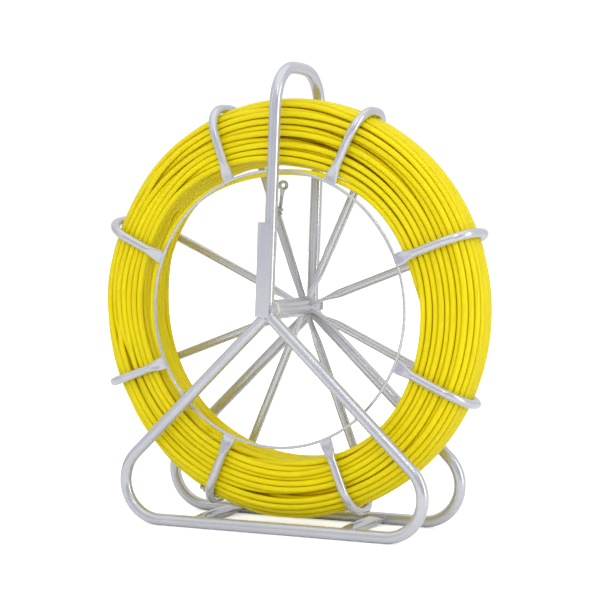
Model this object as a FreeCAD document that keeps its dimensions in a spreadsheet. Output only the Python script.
import FreeCAD, Part
import math
import os
import Sketcher

# Duct rodder: a coil of stiff plastic-jacketed rod held in a steel cage reel
# that spins on an axle between two bent-tube A-frames joined by a carrying
# handle.  Millimetres and degrees, +Z up, axle along Y; -Y is the front, the
# side with the thin ring, and +X is the right.  The origin is on the ground
# under the axle, half way between the front of the axle plate and the rear end
# of the axle's thread.

doc = FreeCAD.newDocument("duct_rodder")
Vector = FreeCAD.Vector
Rotation = FreeCAD.Rotation
Placement = FreeCAD.Placement

# ---------------------------------------------------------------- dimensions
DIMENSIONS = [
    # stand
    ("frame_tube_od", 16.0),
    ("frame_tube_wall", 1.5),
    ("frame_half_depth", 68.5),        # middle of the stand to each A-frame
    ("base_bar_height", 8.0),
    ("base_bend_radius", 51.5),
    ("leg_half_angle", 46.3),          # each leg from the vertical
    ("apex_height", 289.0),
    ("axle_height", 295.0),
    ("handle_top_height", 319.3),      # above the axle, along the lean
    ("handle_bend_radius", 50.0),
    ("handle_lean", 2.3),              # to the right
    ("boss_od", 20.0),
    ("boss_bore", 12.1),
    ("boss_length", 17.0),
    ("plate_width", 19.5),
    ("plate_thickness", 4.0),
    ("plate_length", 124.0),
    ("plate_drop", 9.5),               # lower end below the axle
    ("plate_side_shift", 3.5),         # centre line to the left of the axle
    ("plate_corner", 1.5),
    ("crossbar_left", 114.0),
    ("crossbar_right", 103.0),
    ("crossbar_flat_length", 30.0),
    ("crossbar_flat_width", 22.0),
    ("crossbar_flat_thickness", 4.0),
    # axle
    ("axle_dia", 12.0),
    ("axle_thread_dia", 10.0),
    ("axle_thread_length", 12.0),
    ("axle_chamfer", 1.0),
    ("washer_od", 21.0),
    ("washer_bore", 10.5),
    ("washer_thickness", 2.0),
    ("nut_across_flats", 17.0),
    ("nut_bore", 10.2),
    ("nut_height", 8.4),
    # reel
    ("hub_od", 26.0),
    ("hub_bore", 20.0),
    ("hub_half_length", 57.0),
    ("bush_bore", 12.1),
    ("bush_barrel_od", 19.96),
    ("bush_barrel_length", 20.0),
    ("bush_flange_od", 24.0),
    ("bush_flange_thickness", 2.3),
    ("spoke_plane", 46.0),             # behind the middle of the stand
    ("ring_plane", 47.0),              # in front of the middle of the stand
    ("ring_radius", 183.0),
    ("ring_wire_dia", 4.0),
    ("hook_tube_od", 12.0),
    ("hook_tube_wall", 1.5),
    ("hook_radius", 286.5),            # axle to the outermost run of a hook
    ("hook_bend_radius", 40.0),
    ("hub_flat_width", 16.0),
    ("hub_flat_thickness", 3.6),
    ("hub_flat_length", 40.0),
    ("tip_flat_width", 16.0),
    ("tip_flat_thickness", 3.6),
    ("tip_flat_length", 24.0),
    # rod coil
    ("coil_inner_radius", 195.0),
    ("coil_outer_radius", 278.5),
    ("coil_front", 38.5),
    ("coil_rear", 38.5),
    ("coil_corner_radius", 33.0),
    # anchor eye on the third spoke
    ("eye_od", 14.0),
    ("eye_bore", 6.0),
    ("eye_thickness", 5.0),
    ("eye_shank_dia", 4.6),
    ("eye_shank_length", 39.5),        # foot of the shank to the eye's centre
    ("eye_shank_gap", 1.0),            # top of the shank to the edge of the hole
    ("eye_foot_left", 39.0),           # left of the axle
    ("eye_foot_rise", 127.0),          # above the axle
    ("eye_lean", 8.0),                 # to the right
    ("eye_spoke_length", 200.0),       # stretch of spoke cut out of the shank
]

# Small hand-bending differences between the eight hooks: turn about the axle
# from an even spacing, and twist about the hook's own spoke.
FIRST_HOOK_ANGLE = 22.5
HOOK_LETTERS = "abcdefgh"
HOOK_SPACING = 45
HOOK_BENDING = [
    (-2.1, -1.4), (-2.7, 0.0), (-3.4, -5.7), (-3.1, -8.4),
    (-2.2, -7.7), (-0.9, -3.2), (-1.5, -4.1), (-3.1, -6.6),
]
for i, (turn_error, twist) in enumerate(HOOK_BENDING):
    turn = FIRST_HOOK_ANGLE + HOOK_SPACING * i + turn_error
    DIMENSIONS.append(("hook_turn_" + HOOK_LETTERS[i], turn))
    DIMENSIONS.append(("hook_twist_" + HOOK_LETTERS[i], twist))

sheet = doc.addObject("Spreadsheet::Sheet", "Sheet")
for row, (alias, value) in enumerate(DIMENSIONS, start=1):
    sheet.set("A%d" % row, alias)
    sheet.set("B%d" % row, repr(float(value)))
    sheet.setAlias("B%d" % row, alias)
doc.recompute()

# Expressions are written with $name for a cell of the sheet.
# The middle of the stand lies this far in front of the origin.
MIDDLE = "($axle_thread_length - $plate_thickness) / 2"
# Middle of the stand to the outer side of either A-frame
OUTER_FACE = "($frame_half_depth + $frame_tube_od / 2)"

Z_TO_REAR = Rotation(Vector(-1, 0, 0), 90)

pieces = []
probe = doc.addObject("Part::Vertex", "Probe")


# --------------------------------------------------------------- expressions
def bind(obj, prop, expr):
    obj.setExpression(prop, expr.replace("$", "Sheet."))


def evaluate(expr):
    """Present number behind an expression, worked out on a scratch vertex."""
    bind(probe, "X", expr)
    probe.recompute()
    value = float(probe.X)
    probe.setExpression("X", None)
    return value


def half(dimension, inset):
    """Half of a dimension, less an inset such as the tube wall."""
    return "($%s / 2 - %s)" % (dimension, inset)


def finish(obj, label):
    obj.Label = label
    pieces.append(obj)


# ------------------------------------------------------- primitive helpers
def place(obj, base=("0", "0", "0"), axis=None, angle=None, rotation=None):
    """Turn by a fixed rotation, or by a bound angle about an axis, and move."""
    if rotation is not None:
        obj.Placement = Placement(Vector(0, 0, 0), rotation)
    elif axis is not None:
        # any angle but zero keeps the axis until the bound angle takes over
        obj.Placement = Placement(Vector(0, 0, 0), Rotation(Vector(*axis), 45.0))
        bind(obj, "Placement.Rotation.Angle", angle)
    for component, expr in zip("xyz", base):
        if expr != "0":
            bind(obj, "Placement.Base." + component, expr)
    return obj


def place_on_axle(obj, along, **turned_by):
    """Put on the axle line, a distance behind the middle of the stand."""
    return place(obj, base=("0", "%s - %s" % (along, MIDDLE), "$axle_height"), **turned_by)


def cylinder(name, radius, height, **where):
    obj = doc.addObject("Part::Cylinder", name)
    bind(obj, "Radius", radius)
    bind(obj, "Height", height)
    return place(obj, **where)


def torus(name, bend_radius, tube_radius, sweep, **where):
    obj = doc.addObject("Part::Torus", name)
    bind(obj, "Radius1", bend_radius)
    bind(obj, "Radius2", tube_radius)
    bind(obj, "Angle3", sweep)
    return place(obj, **where)


def flat_section(name, flat, inset, **where):
    """Ellipse of a pinched tube end; flat is the stem of its dimensions."""
    obj = doc.addObject("Part::Ellipse", name)
    # far enough apart that major stays above minor while each is bound
    obj.MajorRadius = 50.0
    obj.MinorRadius = 1.0
    bind(obj, "MajorRadius", half(flat + "_width", inset))
    bind(obj, "MinorRadius", half(flat + "_thickness", inset))
    return place(obj, **where)


def round_section(name, radius, **where):
    obj = doc.addObject("Part::Circle", name)
    bind(obj, "Radius", radius)
    return place(obj, **where)


def loft(name, sections):
    obj = doc.addObject("Part::Loft", name)
    obj.Sections = sections
    obj.Solid = True
    obj.Ruled = False
    return obj


def fuse(name, shapes):
    obj = doc.addObject("Part::MultiFuse", name)
    obj.Shapes = shapes
    return obj


def cut(name, base, tool):
    obj = doc.addObject("Part::Cut", name)
    obj.Base = base
    obj.Tool = tool
    return obj


def with_mirror(name, source, normal, *others):
    """A shape fused with its mirror image, and with any other shapes."""
    image = doc.addObject("Part::Mirroring", name + "_image")
    image.Source = source
    image.Normal = Vector(*normal)
    return fuse(name, [source, image] + list(others))


# ------------------------------------------------------ PartDesign helpers
def body_with_sketch(label, plane="XY_Plane"):
    body = doc.addObject("PartDesign::Body", label + "_body")
    sketch = body.newObject("Sketcher::SketchObject", label + "_sketch")
    support = next(f for f in body.Origin.OriginFeatures if f.Role == plane)
    sketch.AttachmentSupport = [(support, "")]
    sketch.MapMode = "FlatFace"
    return body, sketch


def dimension(sketch, name, expr, kind, *geometry):
    """Add a constraint whose value is bound to an expression."""
    index = sketch.addConstraint(Sketcher.Constraint(kind, *geometry, evaluate(expr)))
    sketch.renameConstraint(index, name)
    bind(sketch, "Constraints." + name, expr)


def polygon(sketch, corners):
    """Closed outline; every corner's coordinates are bound to the sheet."""
    points = [Vector(evaluate(x), evaluate(y), 0) for x, y in corners]
    count = len(points)
    for i in range(count):
        sketch.addGeometry(Part.LineSegment(points[i], points[(i + 1) % count]), False)
    for i in range(count):
        sketch.addConstraint(Sketcher.Constraint("Coincident", i, 2, (i + 1) % count, 1))
    for i, (x, y) in enumerate(corners):
        # a zero coordinate puts the corner on the sketch's own axis
        for letter, expr, zero_axis in (("X", x, -2), ("Y", y, -1)):
            if expr == "0":
                sketch.addConstraint(Sketcher.Constraint("PointOnObject", i, 1, zero_axis))
            else:
                dimension(sketch, letter.lower() + str(i), expr, "Distance" + letter, -1, 1, i, 1)


def revolve(body, sketch, label):
    feature = body.newObject("PartDesign::Revolution", label + "_revolution")
    feature.Profile = sketch
    feature.ReferenceAxis = (sketch, ["V_Axis"])
    feature.Angle = 360.0
    body.Tip = feature
    return feature


def fillet(body, feature, wanted, radius, label):
    """Round the edges of a feature that the wanted() test picks."""
    doc.recompute()
    edges = ["Edge%d" % i for i, edge in enumerate(feature.Shape.Edges, start=1) if wanted(edge)]
    rounding = body.newObject("PartDesign::Fillet", label + "_fillet")
    rounding.Base = (feature, edges)
    bind(rounding, "Radius", radius)
    body.Tip = rounding


def turned(label, outline, along):
    """A turned piece: outline in (radius, distance along the axle)."""
    body, sketch = body_with_sketch(label)
    polygon(sketch, outline)
    revolve(body, sketch, label)
    finish(place_on_axle(body, along), label)


def tube_outline(bore, outer, length):
    return [(bore + " / 2", "0"), (outer + " / 2", "0"),
            (outer + " / 2", length), (bore + " / 2", length)]


# ---------------------------------------------------- bent tubes of the stand
def bent_tube(name, build_half, normal, clearance_half_length, clearance_height):
    """Hollow tube from a half and its mirror, cleared for the axle bosses."""
    outer = build_half(name + "_outer_half", half("frame_tube_od", "0"))
    bore = build_half(name + "_bore_half", half("frame_tube_od", "$frame_tube_wall"))
    clearance = cylinder(name + "_clearance", "$boss_od / 2", clearance_half_length + " * 2",
                         base=("0", clearance_half_length, clearance_height),
                         axis=(1, 0, 0), angle="90")
    return cut(name + "_cut",
               with_mirror(name + "_outer", outer, normal),
               with_mirror(name + "_bore", bore, normal, clearance))


# Centre of the bend between base bar and leg, and the length of a leg
BEND_Z = "($base_bar_height + $base_bend_radius)"
BEND_X = ("((sin($leg_half_angle * 1deg) * ($apex_height - %s) - $base_bend_radius)"
          " / cos($leg_half_angle * 1deg))" % BEND_Z)
LEG_LENGTH = ("(($apex_height - %s - $base_bend_radius * sin($leg_half_angle * 1deg))"
              " / cos($leg_half_angle * 1deg))" % BEND_Z)


def half_frame(name, radius):
    """Right half of an A-frame: base bar, bend, and leg down from the apex."""
    bar = cylinder(name + "_bar", radius, BEND_X, base=("0", "0", "$base_bar_height"),
                   axis=(0, 1, 0), angle="90")
    upright = Rotation(Vector(1, 0, 0), 90).multiply(Rotation(Vector(0, 0, 1), -90))
    bend = torus(name + "_bend", "$base_bend_radius", radius, "90 + $leg_half_angle",
                 base=(BEND_X, "0", BEND_Z), rotation=upright)
    leg = cylinder(name + "_leg", radius, LEG_LENGTH, base=("0", "0", "$apex_height"),
                   axis=(0, 1, 0), angle="180 - $leg_half_angle")
    return fuse(name, [bar, bend, leg])


def half_handle(name, radius):
    """Front half of the handle: upright leg from axle level, bend and grip."""
    bend_y = "$handle_bend_radius - $frame_half_depth"
    bend_z = "$handle_top_height - $handle_bend_radius"
    leg = cylinder(name + "_leg", radius, bend_z, base=("0", "-$frame_half_depth", "0"))
    bend = torus(name + "_bend", "$handle_bend_radius", radius, "90",
                 base=("0", bend_y, bend_z),
                 rotation=Rotation(Vector(0, -1, 0), Vector(0, 0, 1), Vector(-1, 0, 0), "ZXY"))
    grip = cylinder(name + "_grip", radius, "$frame_half_depth - $handle_bend_radius",
                    base=("0", bend_y, "$handle_top_height"), axis=(-1, 0, 0), angle="90")
    return fuse(name, [leg, bend, grip])


for label, side in (("front_a_frame", "-"), ("rear_a_frame", "")):
    frame = bent_tube(label, half_frame, (1, 0, 0), "$frame_tube_od", "$axle_height")
    place(frame, base=("0", "%s$frame_half_depth - %s" % (side, MIDDLE), "0"))
    finish(frame, label)

handle = bent_tube("handle", half_handle, (0, 1, 0), "$frame_half_depth * 2", "0")
place_on_axle(handle, "0", axis=(0, 1, 0), angle="$handle_lean")
finish(handle, "carrying_handle")


# ---------------------------------------------------------- front axle plate
def axle_plate(label):
    """Upright plate on the front of the frame, leaning with the handle."""
    body, sketch = body_with_sketch(label, "XZ_Plane")
    polygon(sketch, [("0", "0"), ("$plate_width", "0"),
                     ("$plate_width", "$plate_length"), ("0", "$plate_length")])
    pad = body.newObject("PartDesign::Pad", label + "_pad")
    pad.Profile = sketch
    bind(pad, "Length", "$plate_thickness")
    body.Tip = pad
    thickness = evaluate("$plate_thickness")

    def through_thickness(edge):
        box = edge.BoundBox
        return box.YLength > thickness - 0.01 and box.XLength < 0.01 and box.ZLength < 0.01

    fillet(body, pad, through_thickness, "$plate_corner", label)

    # the body's origin is the plate's lower left corner
    left = "($plate_side_shift + $plate_width / 2)"
    cosine = "cos($handle_lean * 1deg)"
    sine = "sin($handle_lean * 1deg)"
    place(body, axis=(0, 1, 0), angle="$handle_lean",
          base=("-%s * %s - $plate_drop * %s" % (left, cosine, sine),
                "-%s - %s" % (OUTER_FACE, MIDDLE),
                "$axle_height + %s * %s - $plate_drop * %s" % (left, sine, cosine)))
    finish(body, label)


axle_plate("front_axle_plate")

# -------------------------------------------------- bosses, axle, washer, nut
BOSS = tube_outline("$boss_bore", "$boss_od", "$boss_length")
turned("front_axle_boss", BOSS, "-" + OUTER_FACE)
turned("rear_axle_boss", BOSS, OUTER_FACE + " - $boss_length")

SHOULDER = "2 * " + OUTER_FACE
AXLE_END = SHOULDER + " + $axle_thread_length"
turned("axle", [("0", "0"),
                ("$axle_dia / 2", "0"),
                ("$axle_dia / 2", SHOULDER),
                ("$axle_thread_dia / 2", SHOULDER),
                ("$axle_thread_dia / 2", AXLE_END + " - $axle_chamfer"),
                ("$axle_thread_dia / 2 - $axle_chamfer", AXLE_END),
                ("0", AXLE_END)], "-" + OUTER_FACE)
turned("axle_washer", tube_outline("$washer_bore", "$washer_od", "$washer_thickness"), OUTER_FACE)

prism = doc.addObject("Part::Prism", "nut_prism")
prism.Polygon = 6
bind(prism, "Circumradius", "$nut_across_flats / 2 / cos(30deg)")
bind(prism, "Height", "$nut_height")
nut = cut("nut_cut", prism, cylinder("nut_hole", "$nut_bore / 2", "$nut_height"))
place_on_axle(nut, OUTER_FACE + " + $washer_thickness",
              rotation=Z_TO_REAR.multiply(Rotation(Vector(0, 0, 1), 30)))
finish(nut, "axle_nut")

# ------------------------------------------------------------------ crossbars
CROSSBAR_LENGTH = "(2 * $frame_half_depth - $frame_tube_od)"


def crossbar_solid(name, inset):
    """Round bar along Z, pinched flat at both ends."""
    radius = half("frame_tube_od", inset)
    round_start = ("0", "0", "$crossbar_flat_length")
    round_end = ("0", "0", CROSSBAR_LENGTH + " - $crossbar_flat_length")
    far_end = ("0", "0", CROSSBAR_LENGTH)
    near = loft(name + "_near", [
        flat_section(name + "_near_flat", "crossbar_flat", inset),
        round_section(name + "_near_round", radius, base=round_start)])
    middle = cylinder(name + "_middle", radius, CROSSBAR_LENGTH + " - 2 * $crossbar_flat_length",
                      base=round_start)
    far = loft(name + "_far", [
        round_section(name + "_far_round", radius, base=round_end),
        flat_section(name + "_far_flat", "crossbar_flat", inset, base=far_end)])
    return fuse(name, [near, middle, far])


for label, across in (("left_crossbar", "-$crossbar_left"), ("right_crossbar", "$crossbar_right")):
    crossbar = cut(label + "_cut",
                   crossbar_solid(label + "_outer", "0"),
                   crossbar_solid(label + "_bore", "$frame_tube_wall"))
    place(crossbar, rotation=Z_TO_REAR,
          base=(across, "-%s / 2 - %s" % (CROSSBAR_LENGTH, MIDDLE), "$base_bar_height"))
    finish(crossbar, label)

# ---------------------------------------------------------- hub and its bushes
turned("hub_sleeve", tube_outline("$hub_bore", "$hub_od", "2 * $hub_half_length"),
       "-$hub_half_length")

BUSH_LENGTH = "$bush_flange_thickness + $bush_barrel_length"
turned("front_hub_bush", [("$bush_bore / 2", "0"),
                          ("$bush_flange_od / 2", "0"),
                          ("$bush_flange_od / 2", "$bush_flange_thickness"),
                          ("$bush_barrel_od / 2", "$bush_flange_thickness"),
                          ("$bush_barrel_od / 2", BUSH_LENGTH),
                          ("$bush_bore / 2", BUSH_LENGTH)],
       "-$hub_half_length - $bush_flange_thickness")
turned("rear_hub_bush", [("$bush_bore / 2", "0"),
                         ("$bush_barrel_od / 2", "0"),
                         ("$bush_barrel_od / 2", "$bush_barrel_length"),
                         ("$bush_flange_od / 2", "$bush_barrel_length"),
                         ("$bush_flange_od / 2", BUSH_LENGTH),
                         ("$bush_bore / 2", BUSH_LENGTH)],
       "$hub_half_length - $bush_barrel_length")


# --------------------------------------------------------- front ring and coil
def wire_ring(label):
    body, sketch = body_with_sketch(label)
    centre = Vector(evaluate("$ring_radius"), 0, 0)
    wire = Part.Circle(centre, Vector(0, 0, 1), evaluate("$ring_wire_dia / 2"))
    sketch.addGeometry(wire, False)
    sketch.addConstraint(Sketcher.Constraint("PointOnObject", 0, 3, -1))
    dimension(sketch, "centre", "$ring_radius", "DistanceX", -1, 1, 0, 3)
    dimension(sketch, "wire", "$ring_wire_dia / 2", "Radius", 0)
    revolve(body, sketch, label)
    finish(place_on_axle(body, "-$ring_plane"), label)


def coil(label):
    """The wound rod as one solid ring with rounded corners."""
    body, sketch = body_with_sketch(label)
    width = "$coil_front + $coil_rear"
    polygon(sketch, [("$coil_inner_radius", "0"), ("$coil_outer_radius", "0"),
                     ("$coil_outer_radius", width), ("$coil_inner_radius", width)])
    ring = revolve(body, sketch, label)

    def round_rim(edge):
        return edge.Curve.TypeId == "Part::GeomCircle" and edge.BoundBox.YLength < 0.01

    fillet(body, ring, round_rim, "$coil_corner_radius", label)
    finish(place_on_axle(body, "-$coil_front"), label)


wire_ring("front_ring")
coil("rod_coil")

# ------------------------------------------------------------- spoke and hook
# Local frame of one hook: X radial from the axle, Y along the axle with 0 in
# the spoke plane.  Pinched flat end on the hub, straight spoke, U bend over
# the coil, straight return and a pinched, spread tip that meets the ring.
HOOK_DEPTH = "($spoke_plane + $ring_plane)"
HUB_END = "$hub_od / 2"
SPOKE_START = HUB_END + " + $hub_flat_length"
HOOK_BEND_X = "($hook_radius - $hook_bend_radius)"
TIP_END = "($ring_radius + $ring_wire_dia / 2)"
RETURN_END = TIP_END + " + $tip_flat_length"
# Section planes square to X, with the section's wide axis along Y or along Z
WIDE_ALONG_Y = Rotation(Vector(0, 1, 0), Vector(0, 0, 1), Vector(1, 0, 0), "ZXY")
WIDE_ALONG_Z = Rotation(Vector(0, 0, 1), Vector(0, -1, 0), Vector(1, 0, 0), "ZXY")


def hook_solid(name, inset):
    radius = half("hook_tube_od", inset)
    front = "-" + HOOK_DEPTH
    hub_flat = loft(name + "_hub", [
        flat_section(name + "_hub_flat", "hub_flat", inset,
                     base=(HUB_END, "0", "0"), rotation=WIDE_ALONG_Y),
        round_section(name + "_hub_round", radius,
                      base=(SPOKE_START, "0", "0"), rotation=WIDE_ALONG_Y)])
    spoke = cylinder(name + "_spoke", radius, "%s - %s - $hub_flat_length" % (HOOK_BEND_X, HUB_END),
                     base=(SPOKE_START, "0", "0"), axis=(0, 1, 0), angle="90")
    rear_bend = torus(name + "_rear_bend", "$hook_bend_radius", radius, "90",
                      base=(HOOK_BEND_X, "-$hook_bend_radius", "0"))
    over = cylinder(name + "_over", radius, HOOK_DEPTH + " - 2 * $hook_bend_radius",
                    base=("$hook_radius", "-$hook_bend_radius", "0"), axis=(1, 0, 0), angle="90")
    front_bend = torus(name + "_front_bend", "$hook_bend_radius", radius, "90",
                       base=(HOOK_BEND_X, "$hook_bend_radius - " + HOOK_DEPTH, "0"),
                       rotation=Rotation(Vector(0, 0, 1), -90))
    back = cylinder(name + "_return", radius, "%s - %s - $tip_flat_length" % (HOOK_BEND_X, TIP_END),
                    base=(RETURN_END, front, "0"), axis=(0, 1, 0), angle="90")
    tip_flat = loft(name + "_tip", [
        flat_section(name + "_tip_flat", "tip_flat", inset,
                     base=(TIP_END, front, "0"), rotation=WIDE_ALONG_Z),
        round_section(name + "_tip_round", radius,
                      base=(RETURN_END, front, "0"), rotation=WIDE_ALONG_Z)])
    return fuse(name, [hub_flat, spoke, rear_bend, over, front_bend, back, tip_flat])


for number, letter in enumerate(HOOK_LETTERS, start=1):
    name = "hook_%d" % number
    hook = cut(name + "_cut",
               hook_solid(name + "_outer", "0"),
               hook_solid(name + "_bore", "$hook_tube_wall"))
    # twist about the spoke first, then turn about the axle from +X towards +Z
    turn = Rotation(Vector(0, -1, 0), evaluate("$hook_turn_" + letter))
    twist = Rotation(Vector(1, 0, 0), evaluate("$hook_twist_" + letter))
    place_on_axle(hook, "$spoke_plane", rotation=turn.multiply(twist))
    finish(hook, "spoke_" + name)


# ----------------------------------------------------------------- anchor eye
def anchor_eye(label):
    """A small eye on a thin shank, standing on the side of the third spoke."""
    disc = cylinder("eye_disc", "$eye_od / 2", "$eye_thickness",
                    base=("0", "$eye_thickness / 2", "$eye_shank_length"),
                    axis=(1, 0, 0), angle="90")
    hole = cylinder("eye_hole", "$eye_bore / 2", "$eye_thickness * 2",
                    base=("0", "$eye_thickness", "$eye_shank_length"),
                    axis=(1, 0, 0), angle="90")
    shank = cylinder("eye_shank", "$eye_shank_dia / 2",
                     "$eye_shank_length - $eye_bore / 2 - $eye_shank_gap")
    solid = fuse("eye_solid", [disc, shank])

    spoke_y = evaluate("$spoke_plane - " + MIDDLE)
    foot = Vector(evaluate("-$eye_foot_left"), spoke_y, evaluate("$axle_height + $eye_foot_rise"))
    eye_placement = Placement(foot, Rotation(Vector(0, 1, 0), evaluate("$eye_lean")))

    # material the spoke already fills, brought into the eye's own frame
    angle = math.radians(evaluate("$hook_turn_c"))
    direction = Vector(math.cos(angle), 0, math.sin(angle))
    spoke_placement = Placement(Vector(0, spoke_y, evaluate("$axle_height")),
                                Rotation(Vector(0, 0, 1), direction))
    spoke = cylinder("eye_spoke", "$hook_tube_od / 2", "$eye_spoke_length")
    spoke.Placement = eye_placement.inverse().multiply(spoke_placement)

    eye = cut("eye_cut", solid, fuse("eye_tools", [hole, spoke]))
    eye.Placement = eye_placement
    finish(eye, label)


anchor_eye("rod_anchor_eye")

doc.removeObject(probe.Name)
doc.recompute()

# ---------------------------------------------------------- check and export
faults = []
for obj in doc.Objects:
    if any(state in ("Invalid", "Error") for state in obj.State):
        faults.append("%s: %s" % (obj.Name, obj.State))
for piece in pieces:
    if piece.Shape.isNull() or not piece.Shape.isValid():
        faults.append("%s: null or invalid shape" % piece.Label)
if faults:
    raise RuntimeError("; ".join(faults))

os.makedirs("parts", exist_ok=True)
for file_name in os.listdir("parts"):
    if file_name.endswith(".step"):
        os.remove(os.path.join("parts", file_name))
for piece in pieces:
    piece.Shape.exportStep(os.path.join("parts", piece.Label + ".step"))
